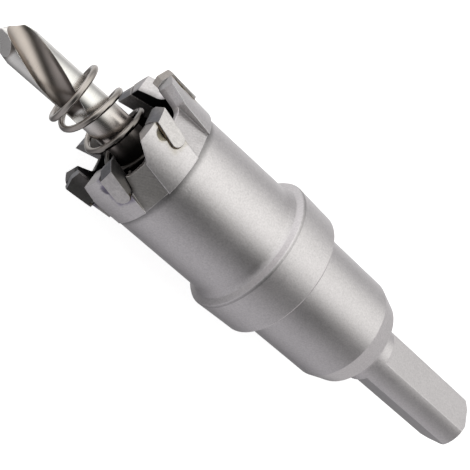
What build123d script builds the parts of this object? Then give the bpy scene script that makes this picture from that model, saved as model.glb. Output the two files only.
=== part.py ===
"""Carbide-tipped hole saw with pilot drill and ejector spring.

The tool axis lies along X. The origin is the centre of the shank's end face and the
cutting end points along +X. Angles about the axis are counted from +Z towards -Y,
the way the tool turns when it cuts. Lengths are in millimetres.
"""
import os
from math import atan, cos, degrees, radians, sin, tan

from build123d import *

os.makedirs("parts", exist_ok=True)

# Shank, hub and collar, measured forward from the end of the shank
shank_r = 5.0
shank_chamfer = 0.7
shank_flat_depth = 1.0
shank_flat_start = 22.4
shank_flat_angles = (43.0, 163.0, 283.0)
root_fillet = 3.1
hub_rear_x = 26.9
hub_rear_r = 8.05
hub_cone_x = 30.4
hub_r = 9.16
collar_rear_x = 45.4
collar_front_x = 52.8
collar_rear_r = 11.06
collar_front_r = 11.3
collar_edge = 0.32
collar_brow = 0.2

# Cup and crown
cup_r_rear = 9.7
cup_r_front = 9.49
cup_start_x = 53.5
cup_throat = 0.5
shoulder_x = 71.0
crown_r_rear = 9.98
crown_r_front = 10.25
crown_length = 7.8
cup_bore_r = 7.8
cup_floor_x = 53.2
cup_floor_chamfer = 1.2

# Gullets between the six teeth
teeth = 6
gullet_width = 4.22
gullet_mid_angle = -20.3
gullet_mid_forward = 2.22
gullet_floor_r = 9.03
gullet_slope = degrees(atan(0.2))
gullet_lean = 10.2
notch_angle = -15.5
notch_bottom = 4.85
notch_radius = 1.5

# Brazed carbide tips
tip_width = 2.1
tip_thick = 2.9
tip_outer_r = 10.62
tip_angle = 25.2
tip_facing = 27.0
tip_forward = 5.35
tip_lean = 14.3
tip_rear = 2.35
tip_lead = 2.82
tip_ridge = 0.52
tip_ridge_in = 1.75
tip_inner_drop = 0.2
tip_relief = 0.39
tip_round = 0.92
tip_rear_r = 10.42
braze_gap = 0.12
scoop_r = 2.2
scoop_depth = 0.35
scoop_angle = 19.9
scoop_forward = 5.95

# Pilot drill, spring and set screw
drill_r = 2.75
drill_bore_r = 3.1
drill_rear_x = 30.0
drill_tip_x = 98.85
flute_end_x = 85.3
flute_pitch = 45.0
flute_tip_angle = 53.0
flute_r = 2.15
web_r = 0.9
lip_angle = 0.0
lip_fall = 0.61
heel_fall = 0.85
screw_angle = 120.0
screw_x = 38.0
screw_hole_r = 2.5
screw_r = 2.4
screw_length = 6.0
screw_hex = 2.5
spring_mean_r = 4.27
spring_wire = 0.92
spring_pitch = 4.3
spring_sides = 8
spring_step = 24

seat_shift = drill_bore_r - drill_r


def spoke(angle):
    """Unit vector pointing out from the axis at an angle."""
    return Vector(0, -sin(radians(angle)), cos(radians(angle)))


def along(angle):
    """Unit vector around the axis, the way the tool turns."""
    return Vector(0, -cos(radians(angle)), -sin(radians(angle)))


def crown_plane(angle, forward, r, lean=0.0, slope=0.0, facing=None):
    """Plane facing out of the crown: local x runs forward, leant the way it turns."""
    facing = angle if facing is None else facing
    out, turn, ahead = spoke(facing), along(facing), Vector(1, 0, 0)
    normal = out * cos(radians(slope)) + ahead * sin(radians(slope))
    run = ahead * cos(radians(slope)) - out * sin(radians(slope))
    run = run * cos(radians(lean)) + turn * sin(radians(lean))
    origin = ahead * (shoulder_x + forward) + spoke(angle) * r
    return Plane(origin=origin, x_dir=run, z_dir=normal)


def tip_outline(gap=0.0, reach=1.0):
    """Outline of a tip on its outer face: round at the rear, open-ended at the front."""
    base = crown_plane(tip_angle, tip_forward, tip_outer_r, tip_lean, facing=tip_facing)
    half = tip_width / 2 + gap
    with BuildSketch(base) as outline:
        with Locations((-tip_rear - gap, 0)):
            Rectangle(tip_rear + gap + tip_lead + reach, 2 * half, align=(Align.MIN, Align.CENTER))
        fillet(outline.vertices().sort_by(Axis.X)[:2], tip_round + gap)
    return outline, base


# One-piece cutter body: shank, hub, collar and cup
with BuildPart() as cutter_body:
    with BuildSketch(Plane.XZ) as profile:
        with BuildLine():
            Polyline(
                (0, 0),
                (0, shank_r - shank_chamfer),
                (shank_chamfer, shank_r),
                (hub_rear_x, shank_r),
                (hub_rear_x, hub_rear_r),
                (hub_cone_x, hub_r),
                (collar_rear_x, hub_r),
                (collar_rear_x, collar_rear_r - collar_edge),
                (collar_rear_x + collar_edge, collar_rear_r),
                (collar_front_x, collar_front_r),
                (cup_start_x, cup_r_rear),
                (shoulder_x, cup_r_front),
                (shoulder_x, crown_r_rear),
                (shoulder_x + crown_length, crown_r_front),
                (shoulder_x + crown_length, 0),
                close=True,
            )
        make_face()
        root = profile.vertices().filter_by(
            lambda v: abs(v.X - hub_rear_x) < 0.01 and abs(abs(v.Y) - shank_r) < 0.01)
        fillet(root, root_fillet - 0.1)
        throat = profile.vertices().filter_by(
            lambda v: abs(v.X - cup_start_x) < 0.01 and abs(abs(v.Y) - cup_r_rear) < 0.01)
        chamfer(throat, cup_throat)
        brow = profile.vertices().filter_by(
            lambda v: abs(v.X - collar_front_x) < 0.01 and abs(abs(v.Y) - collar_front_r) < 0.01)
        chamfer(brow, collar_brow)
    revolve(axis=Axis.X)

    # Cup bore with a bevelled floor, and the blind bore of the pilot drill
    with BuildSketch(Plane.XZ) as hollow:
        with BuildLine():
            Polyline(
                (cup_floor_x, 0),
                (cup_floor_x, cup_bore_r),
                (shoulder_x + crown_length + 1, cup_bore_r),
                (shoulder_x + crown_length + 1, 0),
                close=True,
            )
        make_face()
        corner = hollow.vertices().filter_by(
            lambda v: abs(v.X - cup_floor_x) < 0.01 and abs(abs(v.Y) - cup_bore_r) < 0.01)
        chamfer(corner, cup_floor_chamfer)
    revolve(axis=Axis.X, mode=Mode.SUBTRACT)
    with BuildSketch(Plane.YZ.offset(drill_rear_x)):
        Circle(drill_bore_r)
    extrude(amount=cup_floor_x - drill_rear_x + 1, mode=Mode.SUBTRACT)

    # Three flats on the shank for the chuck jaws
    for angle in shank_flat_angles:
        out = spoke(angle)
        flat = Plane(origin=out * (shank_r - shank_flat_depth), x_dir=(1, 0, 0), z_dir=out)
        with BuildSketch(flat):
            with Locations((shank_flat_start / 2.0 - 0.5, 0)):
                Rectangle(shank_flat_start + 1.0, 4 * shank_r)
        extrude(amount=2 * shank_flat_depth, mode=Mode.SUBTRACT)

    # Tapped hole for the set screw
    hole = Plane(origin=(screw_x, 0, 0), x_dir=(1, 0, 0), z_dir=spoke(screw_angle))
    with BuildSketch(hole):
        Circle(screw_hole_r)
    extrude(amount=hub_r + 1, mode=Mode.SUBTRACT)

# Gullet: a leaning slot that deepens forward, opened into the cup by an arched notch
with BuildPart() as gullet:
    slot = crown_plane(gullet_mid_angle, gullet_mid_forward, gullet_floor_r, gullet_lean, gullet_slope)
    with BuildSketch(slot):
        with Locations((2.0, 0)):
            Rectangle(13.0, gullet_width)
    extrude(amount=4.0)
    with BuildSketch(crown_plane(notch_angle, 0, 6.5)):
        with BuildLine():
            Polyline(
                (notch_bottom, 2.5),
                (10.0, 1.7),
                (10.0, -4.7),
                (notch_bottom, -1.8),
                close=True,
            )
        arch = make_face()
        fillet(arch.vertices().sort_by(Axis.X)[:2], notch_radius)
    extrude(amount=6.5)

# Seat of a carbide tip, with the braze scoop behind it
with BuildPart() as seat:
    outline, base = tip_outline(gap=braze_gap, reach=4.0)
    extrude(outline.sketch, amount=2.0, both=False)
    extrude(outline.sketch, amount=-(tip_thick + 1.0))
    with Locations(crown_plane(scoop_angle, scoop_forward, crown_r_front + scoop_r - scoop_depth).location):
        Sphere(scoop_r)

with cutter_body:
    for k in range(teeth):
        turn = Rotation(360.0 / teeth * k, 0, 0)
        add(turn * gullet.part, mode=Mode.SUBTRACT)
        add(turn * seat.part, mode=Mode.SUBTRACT)
cutter_body.part.label = "cutter_body"
export_step(cutter_body.part, "parts/cutter_body.step")

# Carbide tips, ground round outside, with a ridge, a bevelled corner and relief in front
with BuildPart() as tip:
    outline, base = tip_outline()
    extrude(outline.sketch, amount=-tip_thick, both=True)
    with BuildSketch(Plane.XZ) as ground:
        with BuildLine():
            Polyline(
                (shoulder_x + 2.0, 0),
                (shoulder_x + 2.0, tip_rear_r),
                (shoulder_x + tip_forward + tip_lead, tip_outer_r),
                (shoulder_x + 10.0, tip_outer_r),
                (shoulder_x + 10.0, 0),
                close=True,
            )
        make_face()
    revolve(axis=Axis.X, mode=Mode.INTERSECT)
    split(bisect_by=base.offset(-tip_thick), keep=Keep.TOP)
    ridge = base.from_local_coords((tip_lead + tip_ridge, -tip_width / 2, -tip_ridge_in))
    for fall in (tip_ridge / tip_ridge_in, -tip_inner_drop / (tip_thick - tip_ridge_in)):
        facing = base.x_dir + base.y_dir * tip_relief + base.z_dir * fall
        split(bisect_by=Plane(origin=ridge, z_dir=facing), keep=Keep.BOTTOM)
for k in range(teeth):
    with BuildPart() as carbide_tip:
        add(Rotation(360.0 / teeth * k, 0, 0) * tip.part)
    carbide_tip.part.label = f"carbide_tip_{k + 1}"
    export_step(carbide_tip.part, f"parts/carbide_tip_{k + 1}.step")

# Flute: a round channel along a helix, running out in a ball
drill_axis = spoke(screw_angle) * -seat_shift
drill_line = Axis(drill_axis, (1, 0, 0))
with BuildPart() as flute:
    with BuildLine() as route:
        Helix(flute_pitch, drill_tip_x + 2.0 - flute_end_x, web_r + flute_r,
              center=drill_axis + Vector(flute_end_x, 0, 0), direction=(1, 0, 0))
    with BuildSketch(Plane(origin=route.line @ 0, z_dir=route.line % 0)):
        Circle(flute_r)
    sweep(path=route.line, is_frenet=True)
    with Locations(route.line @ 0):
        Sphere(flute_r)

# Pilot drill, held off centre by the set screw, with two lips and relieved heels
with BuildPart() as pilot_drill:
    with BuildSketch(Plane(origin=drill_axis, x_dir=(1, 0, 0), z_dir=(0, -1, 0))):
        with BuildLine():
            Polyline(
                (drill_rear_x, 0),
                (drill_rear_x, drill_r - 0.3),
                (drill_rear_x + 0.3, drill_r),
                (drill_tip_x - 3.45, drill_r),
                (drill_tip_x - 2.25, 2.45),
                (drill_tip_x - 2.2 * lip_fall, 2.2),
                (drill_tip_x, 0),
                close=True,
            )
        make_face()
    revolve(axis=drill_line)
    flute_angle = flute_tip_angle - 360.0 / flute_pitch * (drill_tip_x - flute_end_x)
    for half_turn in (0.0, 180.0):
        add(flute.part.rotate(drill_line, flute_angle + half_turn), mode=Mode.SUBTRACT)
        lip, ahead = spoke(lip_angle + half_turn), along(lip_angle + half_turn)
        flank = Vector(1, 0, 0) + lip * lip_fall - ahead * heel_fall
        apex = drill_axis + Vector(drill_tip_x, 0, 0)
        split(bisect_by=Plane(origin=apex, z_dir=flank), keep=Keep.BOTTOM)
pilot_drill.part.label = "pilot_drill"
export_step(pilot_drill.part, "parts/pilot_drill.step")

# Set screw with a hexagon socket, pressing on the drill
with BuildPart() as set_screw:
    inner = drill_r - seat_shift + 0.05
    axis_plane = Plane(origin=(screw_x, 0, 0), x_dir=(1, 0, 0), z_dir=spoke(screw_angle))
    with BuildSketch(axis_plane.offset(inner)):
        Circle(screw_r)
    extrude(amount=screw_length)
    chamfer(set_screw.edges(), 0.3)
    with BuildSketch(axis_plane.offset(inner + screw_length)):
        RegularPolygon(screw_hex / 2, 6, major_radius=False)
    extrude(amount=-screw_length / 2, mode=Mode.SUBTRACT)
set_screw.part.label = "set_screw"
export_step(set_screw.part, "parts/set_screw.step")

# Ejector spring, wound left-handed, closed at both ends
turns = [
    (-170, 14.9), (-90, 15.4), (-45, 15.85), (0, 16.15), (60, 16.0), (90, 15.75), (180, 14.5),
    (270, 13.55), (360, 12.6), (450, 11.25), (540, 9.7), (720, 8.25),
]
seat_forward = cup_floor_x + spring_wire / 2 + 0.02 - shoulder_x
last = 720
while turns[-1][1] - spring_pitch / 4 > seat_forward + 1.1:
    last += 90
    turns.append((last, turns[-1][1] - spring_pitch / 4))
turns += [(last + 100, seat_forward + 0.35), (last + 200, seat_forward), (last + 380, seat_forward)]


def spring_forward(angle):
    """Forward position of the wire at a winding angle, smooth between the listed ones."""
    for (a0, f0), (a1, f1) in zip(turns, turns[1:]):
        if a0 <= angle <= a1:
            return f0 + (f1 - f0) * (angle - a0) / (a1 - a0)
    return turns[-1][1]


points = []
angle = turns[0][0]
while angle <= turns[-1][0]:
    spread = [spring_forward(min(max(angle + d, turns[0][0]), turns[-1][0])) for d in (-40, -20, 0, 20, 40)]
    place = spoke(angle) * spring_mean_r + drill_axis
    points.append(place + Vector(shoulder_x + sum(spread) / 5, 0, 0))
    angle += spring_step
with BuildPart() as ejector_spring:
    with BuildLine() as wire:
        Polyline(*points)
    with BuildSketch(Plane(origin=wire.line @ 0, z_dir=wire.line % 0)):
        RegularPolygon(spring_wire / 2, spring_sides)
    sweep(path=wire.line, transition=Transition.RIGHT)
ejector_spring.part.label = "ejector_spring"
export_step(ejector_spring.part, "parts/ejector_spring.step")
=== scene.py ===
"""Carbide-tipped hole saw lying on a pale floor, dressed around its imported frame.

Objects are in metres, and the tool's named sizes in millimetres and degrees. X runs along the tool
towards the cutting end, and +Z faces the camera. Angles round the tool start at +Z and grow towards -Y.
"""
import math

import bmesh
import bpy
from mathutils import Matrix, Vector


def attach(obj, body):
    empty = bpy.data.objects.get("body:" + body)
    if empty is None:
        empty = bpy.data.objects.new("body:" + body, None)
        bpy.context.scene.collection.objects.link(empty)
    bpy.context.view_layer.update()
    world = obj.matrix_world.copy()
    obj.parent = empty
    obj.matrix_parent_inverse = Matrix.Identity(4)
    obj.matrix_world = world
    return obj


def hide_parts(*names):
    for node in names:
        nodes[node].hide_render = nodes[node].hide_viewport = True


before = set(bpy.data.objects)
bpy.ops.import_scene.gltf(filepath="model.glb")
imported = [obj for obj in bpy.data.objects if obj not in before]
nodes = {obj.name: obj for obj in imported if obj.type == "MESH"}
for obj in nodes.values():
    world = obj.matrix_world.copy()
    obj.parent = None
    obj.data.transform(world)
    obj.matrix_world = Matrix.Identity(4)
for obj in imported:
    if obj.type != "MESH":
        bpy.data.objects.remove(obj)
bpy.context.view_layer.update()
MM = 0.001
ALONG = Vector((1, 0, 0))

# Body
COLLAR_REAR_X = 45.4
COLLAR_FRONT_X = 52.8
COLLAR_R = 11.3
CUP_FLOOR_X = 53.2
BORE_R = 7.8

# Crown, from the shoulder of the cup to the rim
TEETH = 6
PITCH = 360.0 / TEETH
SHOULDER_X = 71.0
CROWN_LENGTH = 7.8
CROWN_REAR_R = 9.98
CROWN_R = 10.25
RIM_X = SHOULDER_X + CROWN_LENGTH

# Gullets, with their forward places counted from the shoulder, as for the tips and scoops
GULLET_ANGLE = -20.3
GULLET_FORWARD = 2.22
GULLET_R = 9.03
GULLET_WIDTH = 4.22
GULLET_LEAN = 10.2

# Tips, which lead ahead of their origin and end in a rounded rear, and the scoops beside them
TIP_ANGLE = 25.2
TIP_FACING = 27.0
TIP_FORWARD = 5.35
TIP_LEAN = 14.3
TIP_R = 10.62
TIP_HALF = 1.05
TIP_REAR = 2.35
TIP_ROUND = 0.92
TIP_LEAD = 2.82
BRAZE_GAP = 0.12
SCOOP_ANGLE = 19.9
SCOOP_FORWARD = 5.95

# Pilot drill, set screw and spring
DRILL_Y = 0.303
DRILL_Z = 0.175
DRILL_R = 2.75
SCREW_ANGLE = 120.0
SCREW_X = 38.0
SCREW_HOLE_R = 2.5
THREAD_START_R = 7.95
WIRE_R = 0.46
COIL_R = 4.27
COIL_PITCH = 4.3


def spoke(angle):
    """Unit vector pointing out from the tool's axis at an angle."""
    return Vector((0, -math.sin(math.radians(angle)), math.cos(math.radians(angle))))


def crown_r(x):
    """Outer radius of the crown, which flares a little towards its rim."""
    return CROWN_REAR_R + (CROWN_R - CROWN_REAR_R) * (x - SHOULDER_X) / CROWN_LENGTH


# Node maths: sockets that take part in ordinary expressions
class Wire:
    """A socket in a node tree, with the operators that the finishes use."""

    def __init__(self, board, socket):
        self.board = board
        self.socket = socket

    def _math(self, operation, *values):
        return self.board.node("ShaderNodeMath", {"operation": operation}, dict(enumerate(values)))

    def __add__(self, other):
        return self._math("ADD", self, other)

    __radd__ = __add__

    def __sub__(self, other):
        return self._math("SUBTRACT", self, other)

    def __rsub__(self, other):
        return self._math("SUBTRACT", other, self)

    def __mul__(self, other):
        return self._math("MULTIPLY", self, other)

    __rmul__ = __mul__

    def __truediv__(self, other):
        return self._math("DIVIDE", self, other)

    def __mod__(self, other):
        return self._math("FLOORED_MODULO", self, other)

    def __neg__(self):
        return self * -1.0

    def sin(self):
        return self._math("SINE", self)

    def abs(self):
        return self._math("ABSOLUTE", self)

    def most(self, other):
        return self._math("MAXIMUM", self, other)

    def atan2(self, other):
        return self._math("ARCTAN2", self, other)

    def hypot(self, other):
        """Length of the diagonal between two sides."""
        return self._math("SQRT", self * self + other * other)

    def clamp(self):
        return self.board.node("ShaderNodeClamp", {}, {"Value": self, "Min": 0.0, "Max": 1.0})

    def step(self, start, end):
        """0 before start, 1 after end, smooth between them."""
        return self.board.node("ShaderNodeMapRange", {"interpolation_type": "SMOOTHSTEP"},
                               {"Value": self, "From Min": start, "From Max": end})

    def fade(self, start, end):
        """1 before start, 0 after end, smooth between them."""
        return 1.0 - self.step(start, end)

    def band(self, start, rise, fall, end):
        """1 from rise to fall, and smoothly down to 0 at start and at end."""
        return self.step(start, rise) * self.fade(fall, end)


class Board:
    """A node tree that nodes are added to."""

    def __init__(self, tree):
        self.tree = tree

    def node(self, kind, settings, inputs, output=0):
        """A node of this kind, with its settings made first and then its sockets."""
        made = self.tree.nodes.new(kind)
        for key, value in settings.items():
            if key == "stops":
                self.fill_ramp(made.color_ramp, value)
            else:
                setattr(made, key, value)
        for key, value in inputs.items():
            self.feed(made.inputs[key], value)
        return Wire(self, made.outputs[output])

    def fill_ramp(self, ramp, stops):
        """One stop of the ramp for each place and colour."""
        while len(ramp.elements) < len(stops):
            ramp.elements.new(0.5)
        for element, (place, colour) in zip(ramp.elements, stops):
            element.position = place
            element.color = (*colour, 1.0)

    def feed(self, socket, value):
        """Link a wire to a socket, or set its own value."""
        if isinstance(value, Wire):
            self.tree.links.new(value.socket, socket)
        elif isinstance(value, tuple) and len(value) == 3 and socket.type == "RGBA":
            socket.default_value = (*value, 1.0)
        else:
            socket.default_value = value

    def parts_of(self, vector):
        """The three axes of a vector, one wire each."""
        split = self.tree.nodes.new("ShaderNodeSeparateXYZ")
        self.feed(split.inputs[0], vector)
        return [Wire(self, split.outputs[k]) for k in range(3)]

    def grey(self, level):
        """A vector with the same wire on all three axes."""
        return self.node("ShaderNodeCombineXYZ", {}, {0: level, 1: level, 2: level})

    def times(self, first, second):
        """Two colours or vectors multiplied, axis by axis."""
        return self.node("ShaderNodeVectorMath", {"operation": "MULTIPLY"}, {0: first, 1: second})

    def mix(self, factor, first, second):
        """One colour in place of another, by a wire from 0 to 1."""
        return self.node("ShaderNodeMix", {"data_type": "RGBA", "clamp_factor": True},
                         {0: factor, 6: first, 7: second}, 2)


class Paint(Board):
    """One material, built from nodes around a Principled shader."""

    def __init__(self, name, metallic=1.0):
        self.material = bpy.data.materials.new(name)
        self.material.use_nodes = True
        super().__init__(self.material.node_tree)
        self.shader = self.tree.nodes["Principled BSDF"]
        self.set("Metallic", metallic)
        self.coords = self.node("ShaderNodeTexCoord", {}, {}, "Object")

    def set(self, name, value):
        """Set or link one socket of the shader."""
        self.feed(self.shader.inputs[name], value)

    def axes(self):
        """Object coordinates in millimetres, one wire for each axis."""
        return [axis * 1000.0 for axis in self.parts_of(self.coords)]

    def normal(self):
        """Surface normal of the mesh."""
        return self.node("ShaderNodeNewGeometry", {}, {}, "Normal")

    def stretched(self, x, y, z):
        """Object coordinates scaled differently along each axis."""
        return self.node("ShaderNodeMapping", {}, {"Vector": self.coords, "Scale": (x, y, z)})

    def noise(self, size_mm, detail, vector=None):
        """Smooth random values whose blotches are about size_mm across."""
        inputs = {"Vector": vector or self.coords, "Scale": 1000.0 / size_mm, "Detail": detail}
        return self.node("ShaderNodeTexNoise", {}, inputs, "Fac")

    def tint(self, colour, amount):
        """A colour made lighter or darker by a wire around 1."""
        return self.times(colour, self.grey(amount))

    def rounded(self, radius_mm):
        """Normal rounded over edges and corners within this reach."""
        return self.node("ShaderNodeBevel", {"samples": 6}, {"Radius": radius_mm * MM})

    def blend(self, factor, first, second):
        """One normal in place of another, by a wire from 0 to 1."""
        return self.node("ShaderNodeMix", {"data_type": "VECTOR"}, {0: factor, 4: first, 5: second}, 1)

    def worn_and_lit_edges(self, radius_mm):
        """Normal rounded over the edges, and a wire that is 1 along them, used for lighter edges as wear
        and painted highlight.
        """
        rounded = self.rounded(radius_mm)
        agree = self.node("ShaderNodeVectorMath", {"operation": "DOT_PRODUCT"},
                          {0: rounded, 1: self.normal()}, "Value")
        return rounded, (1.0 - agree).step(0.004, 0.10)

    def occlusion_for_shade(self, reach_mm):
        """1 on open surfaces, falling towards 0 in corners and hollows, where it paints shade."""
        return self.node("ShaderNodeAmbientOcclusion", {"samples": 6}, {"Distance": reach_mm * MM}, "AO")

    def bump(self, height, depth_mm, strength, below=None):
        """Normal raised by a height, over the normal below it where one is given."""
        inputs = {"Height": height, "Distance": depth_mm * MM, "Strength": strength}
        if below is not None:
            inputs["Normal"] = below
        return self.node("ShaderNodeBump", {}, inputs)


# Finish of the body
def across_from(angle, middle, radius):
    """Millimetres round the tool from the middle of the nearest of six like places."""
    return ((angle - middle + PITCH / 2) % PITCH - PITCH / 2) * math.radians(radius)


def gullet_marks(paint, x, angle, radius):
    """Where the gullets are milled, and the arcs that the cutter left in them."""
    arc_pitch = 0.36
    along = x - (SHOULDER_X + GULLET_FORWARD)
    drift = math.degrees(math.tan(math.radians(GULLET_LEAN)) / GULLET_R)
    across = across_from(angle - along * drift, GULLET_ANGLE, GULLET_R)
    arc = (along + 5.0).hypot(across + 6.0)
    marks = (arc * (2 * math.pi / arc_pitch) + paint.noise(1.5, 1.0) * 6.0).sin()
    half = GULLET_WIDTH / 2
    milled = x.step(SHOULDER_X, SHOULDER_X + 0.1) * across.abs().fade(half - 0.1, half + 0.02)
    milled = milled * radius.fade(9.5, 9.75) * radius.step(BORE_R + 0.1, BORE_R + 0.2)
    return milled, marks


def gullet_walls(paint, x, y, z, radius, angle):
    """Upper gullet walls that face smaller angles, for a painted highlight, and those that face greater
    ones, for painted shade.
    """
    nx, ny, nz = paint.parts_of(paint.normal())
    outward = (ny * y + nz * z) / radius
    sideways = (ny * z - nz * y) / radius
    wall = outward.abs().fade(0.25, 0.5) * nx.abs().fade(0.5, 0.8) * radius.step(8.6, 8.8)
    wall = wall * x.step(SHOULDER_X + 0.05, SHOULDER_X + 0.15) * (angle - 20.0).abs().fade(55.0, 75.0)
    return wall * sideways.step(0.2, 0.5), wall * (-sideways).step(0.2, 0.5)


def heat_tint(x, angle, ragged):
    """How much brazing heat coloured the steel round each tip, and in its scoop."""
    lean = math.radians(TIP_LEAN)
    ahead = x - (SHOULDER_X + TIP_FORWARD)
    aside = across_from(angle, TIP_ANGLE, CROWN_R)
    run = ahead * math.cos(lean) + aside * math.sin(lean)
    side = aside * math.cos(lean) - ahead * math.sin(lean)
    off_side = (side.abs() - TIP_HALF).most(0.0)
    off_rear = (-run - TIP_REAR).most(0.0)
    from_tip = off_side.hypot(off_rear) + (ragged - 0.5) * 0.8
    halo = (0.35 + 0.4 * angle.fade(-30.0, 0.0)) * from_tip.fade(0.05, 0.9)

    scoop_aside = across_from(angle, SCOOP_ANGLE, CROWN_R)
    from_scoop = (x - (SHOULDER_X + SCOOP_FORWARD)).hypot(scoop_aside) + (ragged - 0.5) * 0.5
    stain = 0.9 * from_scoop.fade(0.75, 1.25)
    return halo.most(stain) * x.step(SHOULDER_X + 1.5, SHOULDER_X + 2.0)


def blasted_steel():
    """Bare steel with a fine blasted grain, milled gullets and heat tints, and painted shade that blackens
    the bore.
    """
    paint = Paint("blasted_steel")
    x, y, z = paint.axes()
    radius = y.hypot(z)
    angle = y.atan2(z) * (-180.0 / math.pi)
    grain = paint.noise(0.24, 3.0)
    speckle = paint.noise(0.5, 1.0)
    cloud = paint.noise(7.0, 2.0)
    rings = paint.noise(0.10, 1.0, paint.stretched(1.0, 0.02, 0.02))
    milled, marks = gullet_marks(paint, x, angle, radius)
    lit_wall_highlight, shaded_wall = gullet_walls(paint, x, y, z, radius, angle)
    rounded, edge_wear_and_highlight = paint.worn_and_lit_edges(0.16)

    # Soft throat where the collar runs into the cup, mostly spared the painted shade of hollows
    throat = x.band(COLLAR_FRONT_X + 0.25, COLLAR_FRONT_X + 0.9, COLLAR_FRONT_X + 3.2, COLLAR_FRONT_X + 4.2)
    occlusion = paint.occlusion_for_shade(0.9).most(throat * 0.9)

    # Painted shade: black inside the cup, darker in the notches, on the crown's far side and on the gullet
    # walls that face greater angles, and the rim a little darker
    bore_shade = radius.fade(BORE_R + 0.02, BORE_R + 0.1) * x.step(CUP_FLOOR_X - 0.6, CUP_FLOOR_X - 0.4)
    rim = x.step(RIM_X - 0.06, RIM_X - 0.02)
    notch_shade = radius.fade(BORE_R + 0.1, GULLET_R - 0.4) * x.step(SHOULDER_X + 3.0, SHOULDER_X + 4.0)
    far_side_shade = x.step(SHOULDER_X + 2.5, SHOULDER_X + 4.0) * angle.band(-150.0, -130.0, -80.0, -64.0)
    shaded_wall = shaded_wall * x.step(SHOULDER_X + 1.5, SHOULDER_X + 5.0)
    painted_dark = (bore_shade + 0.25 * rim + 0.35 * notch_shade + 0.6 * far_side_shade + 0.5 * shaded_wall).clamp()

    # Painted shade in the roots of the two steps, and a painted dark line along the brow of the collar
    crown_root_shade = x.band(SHOULDER_X - 1.35, SHOULDER_X - 0.15, SHOULDER_X, SHOULDER_X + 0.03)
    collar_root_shade = x.band(COLLAR_REAR_X - 0.5, COLLAR_REAR_X - 0.05, COLLAR_REAR_X, COLLAR_REAR_X + 0.03)
    brow_shade_line = x.band(COLLAR_FRONT_X - 0.42, COLLAR_FRONT_X - 0.3, COLLAR_FRONT_X - 0.2, COLLAR_FRONT_X + 0.05)

    shade = 0.94 + 0.12 * cloud + 0.50 * (grain - 0.5) + 0.14 * (speckle - 0.5) + 0.03 * (rings - 0.5)
    shade = shade + 0.025 * marks * milled
    # Painted shade at the step roots and along the brow
    shade = shade * (1.0 - 0.5 * crown_root_shade - 0.45 * collar_root_shade - 0.3 * brow_shade_line)
    # Painted shade in corners and hollows, and edges lighter as wear and painted highlight
    shade = shade * (0.5 + 0.5 * occlusion) * (1.0 + 0.35 * edge_wear_and_highlight * occlusion.step(0.7, 0.95))
    shade = shade * (0.96 + 0.04 * x.step(COLLAR_REAR_X - 1.4, COLLAR_REAR_X + 0.6))

    gullet_floor = paint.mix(angle.step(-10.0, 30.0), (0.52, 0.50, 0.48), (0.63, 0.602, 0.612))
    metal = paint.mix(milled, (0.675, 0.648, 0.656), gullet_floor)
    # Painted highlight: lighter steel on the gullet walls that face smaller angles
    metal = paint.mix(lit_wall_highlight, metal, (0.93, 0.90, 0.905))
    heat = heat_tint(x, angle, paint.noise(0.8, 3.0)) * radius.step(9.5, 9.8)
    temper = paint.mix(angle.step(-30.0, 5.0), (0.27, 0.245, 0.34), (0.50, 0.45, 0.33))
    # Painted shade mixes the steel towards black
    colour = paint.mix(painted_dark, paint.mix(heat, metal, temper), (0.02, 0.019, 0.02))
    paint.set("Base Color", paint.tint(colour, shade))
    paint.set("Roughness", 0.33 + 0.10 * cloud + 0.12 * (grain - 0.5) - 0.06 * milled + 0.15 * painted_dark)

    soft = paint.blend(throat, rounded, paint.rounded(1.3))
    blasted = paint.bump(grain, 0.03, 0.5, soft)
    turned = paint.bump(rings, 0.006, 0.25, blasted)
    paint.set("Normal", paint.bump(marks * milled, 0.006, 0.3, turned))
    return paint.material


# Finishes of the other pieces
def sintered_carbide():
    """Grained grey carbide. Bevels are dark, with painted light towards -Y, and sides light, with painted
    shade towards +Y; cutting faces and hollows carry painted shade.
    """
    paint = Paint("sintered_carbide")
    nx, ny, nz = paint.parts_of(paint.normal())
    y, z = paint.axes()[1:]
    front = nx.step(0.3, 0.6)
    shaded_cutting_face = ((nz * y - ny * z) / y.hypot(z)).step(0.4, 0.8)
    # Painted light and shade: bevels lit towards -Y, sides shaded towards +Y
    lit_and_shaded_bevel = paint.mix((-y).step(4.0, 8.0), (0.205, 0.205, 0.22), (0.50, 0.46, 0.43))
    side = paint.mix(y.step(7.5, 9.5), (0.65, 0.625, 0.62), (0.24, 0.235, 0.23))
    grain = paint.noise(0.22, 3.0)
    speckle = paint.noise(0.5, 2.0)
    lines = paint.noise(0.14, 2.0, paint.stretched(0.08, 1.0, 1.0))
    rounded, edge_wear_and_highlight = paint.worn_and_lit_edges(0.12)
    shade = 0.94 + 0.45 * (grain - 0.5) + 0.40 * (speckle - 0.5) + 0.25 * (lines - 0.5)
    # Painted shade on cutting faces and in hollows, and edges lighter as wear and painted highlight
    shade = shade * (1.0 + 0.3 * edge_wear_and_highlight) * (0.4 + 0.6 * paint.occlusion_for_shade(0.6)) * (1.0 - 0.55 * shaded_cutting_face)
    paint.set("Base Color", paint.tint(paint.mix(front, side, lit_and_shaded_bevel), shade))
    paint.set("Roughness", 0.38 + 0.14 * (grain - 0.5) + 0.08 * front)
    paint.set("Normal", paint.bump(lines, 0.012, 0.5, rounded))
    return paint.material


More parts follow.
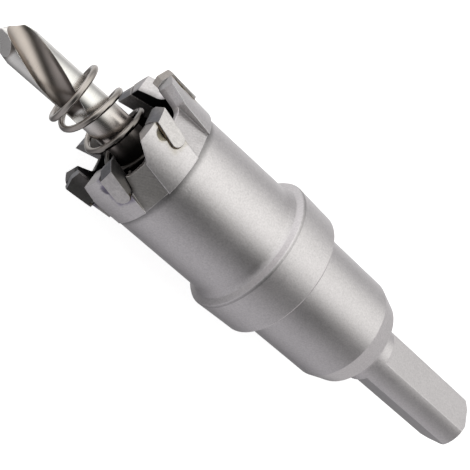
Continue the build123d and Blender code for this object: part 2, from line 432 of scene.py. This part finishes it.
def ground_drill_steel():
    """Bright ground steel with brown-grey polished flutes, dull and with painted shade inside the cup."""
    paint = Paint("ground_drill_steel")
    x, y, z = paint.axes()
    radius = (y - DRILL_Y).hypot(z - DRILL_Z)
    nose = paint.parts_of(paint.normal())[0].step(0.25, 0.45)
    flute = radius.fade(DRILL_R - 0.25, DRILL_R - 0.1) * (1.0 - nose)
    deep_dull_and_shaded = x.fade(SHOULDER_X + 5.0, SHOULDER_X + 9.0)
    rings = paint.noise(0.08, 1.0, paint.stretched(1.0, 0.03, 0.03))
    cloud = paint.noise(2.2, 3.0)
    rounded, edge_wear_and_highlight = paint.worn_and_lit_edges(0.10)
    # Edges lighter as wear and painted highlight
    shade = 0.92 + 0.22 * (cloud - 0.5) + 0.08 * (rings - 0.5) + 0.2 * edge_wear_and_highlight
    # Painted shade deep in the cup and in hollows
    shade = shade * (1.0 - 0.93 * deep_dull_and_shaded) * (0.5 + 0.5 * paint.occlusion_for_shade(1.5))
    # Painted shade on the flutes, towards their outer edges and towards the cup
    shade = shade * (1.0 - 0.45 * flute * radius.step(DRILL_R - 1.1, DRILL_R - 0.3))
    shade = shade * (1.0 - 0.6 * flute * x.fade(SHOULDER_X + 14.0, SHOULDER_X + 20.0))
    land = paint.mix(x.step(SHOULDER_X + 8.0, SHOULDER_X + 14.0), (0.64, 0.575, 0.54), (0.93, 0.91, 0.88))
    paint.set("Base Color", paint.tint(paint.mix(flute, land, (0.55, 0.49, 0.45)), shade))
    paint.set("Roughness", 0.20 + 0.08 * cloud + 0.05 * flute + 0.25 * deep_dull_and_shaded)
    paint.set("Normal", paint.bump(rings, 0.004, 0.3, rounded))
    return paint.material


def drawn_spring_steel():
    """Glossy spring wire with fine specks, with painted shade inside the cup and in hollows."""
    paint = Paint("drawn_spring_steel")
    x = paint.axes()[0]
    cloud = paint.noise(1.6, 3.0)
    specks = paint.noise(0.18, 2.0)
    shade = 0.95 + 0.40 * (cloud - 0.5) + 0.16 * (specks - 0.5)
    # Painted shade inside the cup and in hollows
    shade = shade * (0.12 + 0.88 * x.step(SHOULDER_X + 5.0, SHOULDER_X + 11.0))
    shade = shade * (0.35 + 0.65 * paint.occlusion_for_shade(1.2))
    paint.set("Base Color", paint.tint((0.48, 0.44, 0.41), shade))
    paint.set("Roughness", 0.12 + 0.10 * cloud)
    paint.set("Normal", paint.bump(specks, 0.008, 0.25))
    return paint.material


def black_oxide():
    """Black oxide of the socket screw."""
    paint = Paint("black_oxide", metallic=0.8)
    cloud = paint.noise(0.6, 3.0)
    paint.set("Base Color", paint.tint((0.05, 0.05, 0.055), 0.85 + 0.3 * cloud))
    paint.set("Roughness", 0.38 + 0.16 * cloud)
    paint.set("Normal", paint.bump(paint.noise(0.1, 2.0), 0.006, 0.4))
    return paint.material


def braze_filler():
    """Dull brown braze metal, with soot on it."""
    paint = Paint("braze_filler", metallic=0.9)
    soot = paint.noise(0.5, 3.0)
    paint.set("Base Color", paint.mix(soot.step(0.35, 0.65), (0.07, 0.055, 0.045), (0.26, 0.20, 0.13)))
    paint.set("Roughness", 0.40 + 0.25 * soot)
    paint.set("Normal", paint.bump(paint.noise(0.12, 2.0), 0.008, 0.5))
    return paint.material


def pale_floor():
    """Plain pale floor that glows, so that shadows on it stay faint."""
    paint = Paint("pale_floor", metallic=0.0)
    paint.set("Base Color", (0.9, 0.9, 0.9))
    paint.set("Roughness", 0.8)
    paint.set("Emission Color", (1.0, 1.0, 1.0))
    paint.set("Emission Strength", 0.74)
    return paint.material


steel = blasted_steel()
carbide = sintered_carbide()
finishes = {"cutter_body": steel, "pilot_drill": ground_drill_steel(),
            "ejector_spring": drawn_spring_steel(), "set_screw": black_oxide()}
for tooth in range(1, TEETH + 1):
    finishes[f"carbide_tip_{tooth}"] = carbide
for name, finish in finishes.items():
    for slot in nodes[name].material_slots:
        slot.material = finish
    if not nodes[name].material_slots:
        nodes[name].data.materials.append(finish)


def link(name, mesh, finish=None):
    """A piece of the scene that holds this mesh, at the origin."""
    made = bpy.data.objects.new(name, mesh)
    bpy.context.scene.collection.objects.link(made)
    if finish:
        mesh.materials.append(finish)
    return made


# Body and drill, with their turned surfaces shaded round
def turned_normals(mesh, axis_y, axis_z):
    """Smooth normals, true to a turned surface where a face lies on one."""
    sharp_edge = math.radians(15.0)
    near_axis = 0.5 * MM
    facet_bulge = 0.03 * MM
    sideways_lean = 0.03
    for face in mesh.polygons:
        face.use_smooth = True
    mesh.set_sharp_from_angle(angle=sharp_edge)

    def spread(point):
        return Vector((0.0, point.y - axis_y * MM, point.z - axis_z * MM))

    normals = [corner.vector.copy() for corner in mesh.corner_normals]
    for face in mesh.polygons:
        rims = [spread(mesh.vertices[k].co) for k in face.vertices]
        middle = spread(face.center)
        bulge = sum(rim.length for rim in rims) / len(rims) - middle.length
        if middle.length < near_axis or bulge > facet_bulge:
            continue
        if abs(face.normal.dot(ALONG.cross(middle.normalized()))) > sideways_lean:
            continue
        for corner, rim in zip(face.loop_indices, rims):
            tangent = ALONG.cross(rim.normalized())
            flat = normals[corner] - tangent * normals[corner].dot(tangent)
            normals[corner] = flat.normalized()
    mesh.normals_split_custom_set(normals)


def finished_copy(name, axis_y=0.0, axis_z=0.0):
    """The piece's own mesh with its seams closed and its turned surfaces shaded true."""
    shell = bmesh.new()
    shell.from_mesh(nodes[name].data)
    bmesh.ops.remove_doubles(shell, verts=shell.verts, dist=0.001 * MM)
    shell.verts.index_update()
    mesh = bpy.data.meshes.new(f"{name}_finished")
    mesh.from_pydata([tuple(vert.co) for vert in shell.verts], [],
                     [[vert.index for vert in face.verts] for face in shell.faces])
    shell.free()
    turned_normals(mesh, axis_y, axis_z)
    copy = link(mesh.name, mesh, finishes[name])
    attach(copy, "root")
    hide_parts(name)
    return copy


body = finished_copy("cutter_body")
drill = finished_copy("pilot_drill", DRILL_Y, DRILL_Z)

# Spring, from its free end: angle of the wire round the drill, and its place ahead of the shoulder
TURNS = [(-170, 14.9), (-90, 15.4), (-45, 15.85), (0, 16.15), (60, 16.0), (90, 15.75), (180, 14.5),
         (270, 13.55), (360, 12.6), (450, 11.25), (540, 9.7), (720, 8.25)]


def wound_places():
    """Angle and forward place of the wire, from the free end to the closed coil at the cup floor."""
    seat_gap = 0.02
    seat = CUP_FLOOR_X + WIRE_R + seat_gap - SHOULDER_X
    closing = seat + 1.1
    quarter = COIL_PITCH / 4
    places = list(TURNS)
    while places[-1][1] - quarter > closing:
        places.append((places[-1][0] + 90, places[-1][1] - quarter))
    last = places[-1][0]
    return places + [(last + 100, seat + 0.35), (last + 200, seat), (last + 380, seat)]


def spring_wire(step=6):
    """Smooth round wire through the wound places, with a ring of its mesh every few degrees."""
    places = wound_places()
    start = places[0][0]
    end = places[-1][0]
    smoothing = range(-40, 41, 10)

    def forward_at(angle):
        angle = min(max(angle, start), end)
        for (a0, f0), (a1, f1) in zip(places, places[1:]):
            if angle <= a1:
                return f0 + (f1 - f0) * (angle - a0) / (a1 - a0)
        return places[-1][1]

    curve = bpy.data.curves.new("spring_wire", "CURVE")
    curve.dimensions = "3D"
    curve.bevel_depth = WIRE_R * MM
    curve.bevel_resolution = 4
    curve.use_fill_caps = True
    count = int((end - start) / step) + 1
    line = curve.splines.new("POLY")
    line.points.add(count - 1)
    for k in range(count):
        angle = start + k * step
        forward = sum(forward_at(angle + off) for off in smoothing) / len(smoothing)
        place = (spoke(angle) * COIL_R + Vector((SHOULDER_X + forward, DRILL_Y, DRILL_Z))) * MM
        line.points[k].co = (*place, 1.0)
    holder = bpy.data.objects.new("spring_wire", curve)
    mesh = bpy.data.meshes.new_from_object(holder)
    mesh.name = "ejector_spring_wire"
    for face in mesh.polygons:
        face.use_smooth = True
    bpy.data.objects.remove(holder)
    return mesh


wire = link("ejector_spring_wire", spring_wire(), finishes["ejector_spring"])
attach(wire, "root")
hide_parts("ejector_spring")


# Braze beads and thread, made by Geometry Nodes
class Works(Board):
    """A Geometry Nodes tree with named inputs, run once to make a plain mesh."""

    def __init__(self, name, **sockets):
        tree = bpy.data.node_groups.new(name, "GeometryNodeTree")
        super().__init__(tree)
        sides = tree.interface
        sides.new_socket(name="Geometry", in_out="OUTPUT", socket_type="NodeSocketGeometry")
        self.items = {}
        for key, kind in sockets.items():
            self.items[key] = sides.new_socket(name=key, in_out="INPUT", socket_type=f"NodeSocket{kind}")
        entry = tree.nodes.new("NodeGroupInput")
        self.given = {key: Wire(self, entry.outputs[key]) for key in sockets}

    def tube(self, line, radius, sides):
        """A closed round tube along a line."""
        ring = self.node("GeometryNodeCurvePrimitiveCircle", {}, {"Resolution": sides, "Radius": radius})
        return self.node("GeometryNodeCurveToMesh", {},
                         {"Curve": line, "Profile Curve": ring, "Fill Caps": True})

    def finish(self, geometry, material):
        """Realize Instances, smooth shading and Set Material close the tree."""
        real = self.node("GeometryNodeRealizeInstances", {}, {0: geometry})
        smooth = self.node("GeometryNodeSetShadeSmooth", {}, {0: real})
        painted = self.node("GeometryNodeSetMaterial", {}, {"Geometry": smooth, "Material": material})
        out = self.tree.nodes.new("NodeGroupOutput")
        self.tree.links.new(painted.socket, out.inputs[0])

    def make(self, name, base, **values):
        """The plain mesh that the tree makes on this base mesh with these inputs."""
        holder = bpy.data.objects.new(name, base)
        bpy.context.scene.collection.objects.link(holder)
        modifier = holder.modifiers.new(name, "NODES")
        modifier.node_group = self.tree
        for key, value in values.items():
            modifier[self.items[key].identifier] = value
        seen = holder.evaluated_get(bpy.context.evaluated_depsgraph_get())
        mesh = bpy.data.meshes.new_from_object(seen)
        mesh.name = name
        bpy.data.objects.remove(holder)
        return mesh


def line_mesh(name, points):
    """A mesh with one edge from each point to the next."""
    mesh = bpy.data.meshes.new(name)
    mesh.from_pydata(points, [(k, k + 1) for k in range(len(points) - 1)], [])
    return mesh


def seat_outline(gap, sink, steps=7):
    """Points down one side and round the rear of the first tip's seat, on the steel, in metres.

    The line runs at a gap from the tip, and each point is lowered until it is sunk in the crown.
    """
    lean = math.radians(TIP_LEAN)
    out = spoke(TIP_FACING)
    run = ALONG * math.cos(lean) + ALONG.cross(out) * math.sin(lean)
    side = out.cross(run)
    origin = ALONG * (SHOULDER_X + TIP_FORWARD) + spoke(TIP_ANGLE) * TIP_R
    half = TIP_HALF + gap
    corner = TIP_ROUND + gap
    bare_front = 0.7
    front_u = TIP_LEAD - bare_front
    rear_u = corner - (TIP_REAR + gap)
    straight = 2 * steps
    flat = [(front_u + (rear_u - front_u) * k / straight, -half) for k in range(straight)]
    for middle, start in ((corner - half, 270), (half - corner, 180)):
        for k in range(steps + 1):
            angle = math.radians(start - 90 * k / steps)
            flat.append((rear_u + corner * math.cos(angle), middle + corner * math.sin(angle)))
    lowering = 0.02
    points = []
    for u, v in flat:
        place = origin + run * u - side * v
        while math.hypot(place.y, place.z) > crown_r(place.x) - sink:
            place = place - out * lowering
        points.append(place * MM)
    return points


def braze_beads():
    """Uneven bead of braze in the gap round every tip."""
    works = Works("braze_bead_works", Line="Geometry", Teeth="Int", Spacing="Float", Bead="Float",
                  Unevenness="Float", Finish="Material")
    given = works.given
    line = works.node("GeometryNodeMeshToCurve", {}, {"Mesh": given["Line"]})
    even = works.node("GeometryNodeResampleCurve", {"mode": "LENGTH"},
                      {"Curve": line, "Length": given["Spacing"]})
    bead = works.tube(even, given["Bead"], 8)
    places = works.node("GeometryNodePoints", {}, {"Count": given["Teeth"]})
    turn = works.node("GeometryNodeInputIndex", {}, {}) * math.radians(PITCH)
    turned = works.node("ShaderNodeCombineXYZ", {}, {0: turn})
    around = works.node("GeometryNodeInstanceOnPoints", {},
                        {"Points": places, "Instance": bead, "Rotation": turned})
    real = works.node("GeometryNodeRealizeInstances", {}, {0: around})
    lump = works.node("ShaderNodeTexNoise", {}, {"Scale": 1900.0, "Detail": 1.0}, "Fac")
    normal = works.node("GeometryNodeInputNormal", {}, {})
    push = works.node("ShaderNodeVectorMath", {"operation": "SCALE"},
                      {0: normal, "Scale": (lump - 0.5) * given["Unevenness"]})
    lumpy = works.node("GeometryNodeSetPosition", {}, {"Geometry": real, "Offset": push})
    works.finish(lumpy, given["Finish"])
    seat_line = line_mesh("seat_line", seat_outline(gap=BRAZE_GAP / 3, sink=0.02))
    return works.make("braze_beads", seat_line, Teeth=TEETH, Spacing=0.16 * MM, Bead=0.095 * MM,
                      Unevenness=0.06 * MM, Finish=braze_filler())


def tapped_thread(finish):
    """Ridge of the thread in the open end of the tapped hole."""
    works = Works("thread_works", Line="Geometry", Turns="Float", Pitch="Float", Hole="Float",
                  Ridge="Float", Finish="Material")
    given = works.given
    helix = works.node("GeometryNodeCurveSpiral", {},
                       {"Resolution": 40, "Rotations": given["Turns"], "Start Radius": given["Hole"],
                        "End Radius": given["Hole"], "Height": given["Turns"] * given["Pitch"]})
    works.finish(works.tube(helix, given["Ridge"], 4), given["Finish"])
    mesh = works.make("hole_thread", line_mesh("thread_line", [(0, 0, 0)]), Turns=1.25, Pitch=0.5 * MM,
                      Hole=(SCREW_HOLE_R + 0.01) * MM, Ridge=0.09 * MM, Finish=finish)
    out = spoke(SCREW_ANGLE)
    upright = Matrix((tuple(ALONG), tuple(out.cross(ALONG)), tuple(out))).transposed()
    place = ALONG * SCREW_X + out * THREAD_START_R
    mesh.transform(Matrix.Translation(place * MM) @ upright.to_4x4())
    return mesh


beads = link("braze_beads", braze_beads())
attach(beads, "root")
thread = link("hole_thread", tapped_thread(steel))
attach(thread, "root")

# Floor under the collar, which is what the tool rests on
FLOOR_REACH = 1.5
floor_mesh = bpy.data.meshes.new("floor")
corners = [(-1, -1), (1, -1), (1, 1), (-1, 1)]
floor_mesh.from_pydata([(FLOOR_REACH * a, FLOOR_REACH * b, 0) for a, b in corners], [], [(0, 1, 2, 3)])
floor_mesh.transform(Matrix.Translation((0, 0, -COLLAR_R * MM)))
floor = link("floor", floor_mesh, pale_floor())
floor.visible_glossy = False

# Camera where the photograph was taken from
CAMERA_PLACE = (0.11702, 0.0, 0.12085)
RIGHT = Vector((-0.66495, -0.66460, 0.34081))
DOWN = Vector((-0.59076, 0.74720, 0.30446))
FORWARD = Vector((-0.45699, 0.00111, -0.88947))
lens = bpy.data.cameras.new("camera")
lens.sensor_width = 36.0
lens.lens = 71.14
lens.clip_start = 0.01
camera = bpy.data.objects.new("camera", lens)
facing = Matrix((RIGHT, -DOWN, -FORWARD)).transposed()
camera.matrix_world = Matrix.Translation(CAMERA_PLACE) @ facing.to_4x4()
bpy.context.scene.collection.objects.link(camera)
bpy.context.scene.camera = camera

# Studio light: angle round the tool, brightness and warmth of the light from there
GLOW = [(-180, 0.64, 0), (-150, 0.16, -1), (-125, 0.30, -1), (-100, 0.52, -1), (-75, 0.52, -1),
        (-55, 0.40, -1), (-38, 0.22, 0), (-22, 0.04, 0), (-8, 0.06, 1), (6, 0.42, 1), (20, 1.08, 1),
        (38, 1.33, 1), (60, 1.22, 1), (80, 0.96, 1), (98, 0.60, 0), (115, 0.46, 0), (132, 0.68, 0),
        (150, 0.92, 0), (180, 0.64, 0)]
# Brightness at the top of the ramp's scale, light on what faces backwards, and one step of warmth
FULL = 1.3
TAIL_LIGHT = (0.50, 0.495, 0.495)
WARMTH = (0.0, 0.006, -0.024)


def lamp_colour(glow, warmth):
    """Colour of the light on a scale where 1 is full brightness."""
    return tuple(glow / FULL * (1.0 + k * warmth) for k in WARMTH)


world = bpy.data.worlds.new("studio")
bpy.context.scene.world = world
world.use_nodes = True
room = Board(world.node_tree)
direction = room.node("ShaderNodeTexCoord", {}, {}, "Generated")
ahead, aside, up = room.parts_of(direction)
around = (-aside).atan2(up) * (180.0 / math.pi)
stops = [((angle + 180.0) / 360.0, lamp_colour(glow, warmth)) for angle, glow, warmth in GLOW]
ring = room.node("ShaderNodeValToRGB", {"stops": stops}, {"Fac": (around + 180.0) / 360.0})
head_light = room.grey(0.40 + 0.62 * (-aside).step(-0.12, 0.30))
whole = room.mix((-ahead).step(0.66, 0.82), ring, TAIL_LIGHT)
whole = room.mix(ahead.step(0.60, 0.88), whole, head_light)
light = room.times(whole, (FULL, FULL, FULL))
room.feed(world.node_tree.nodes["Background"].inputs["Color"], light)
bpy.context.scene.view_settings.view_transform = "Standard"
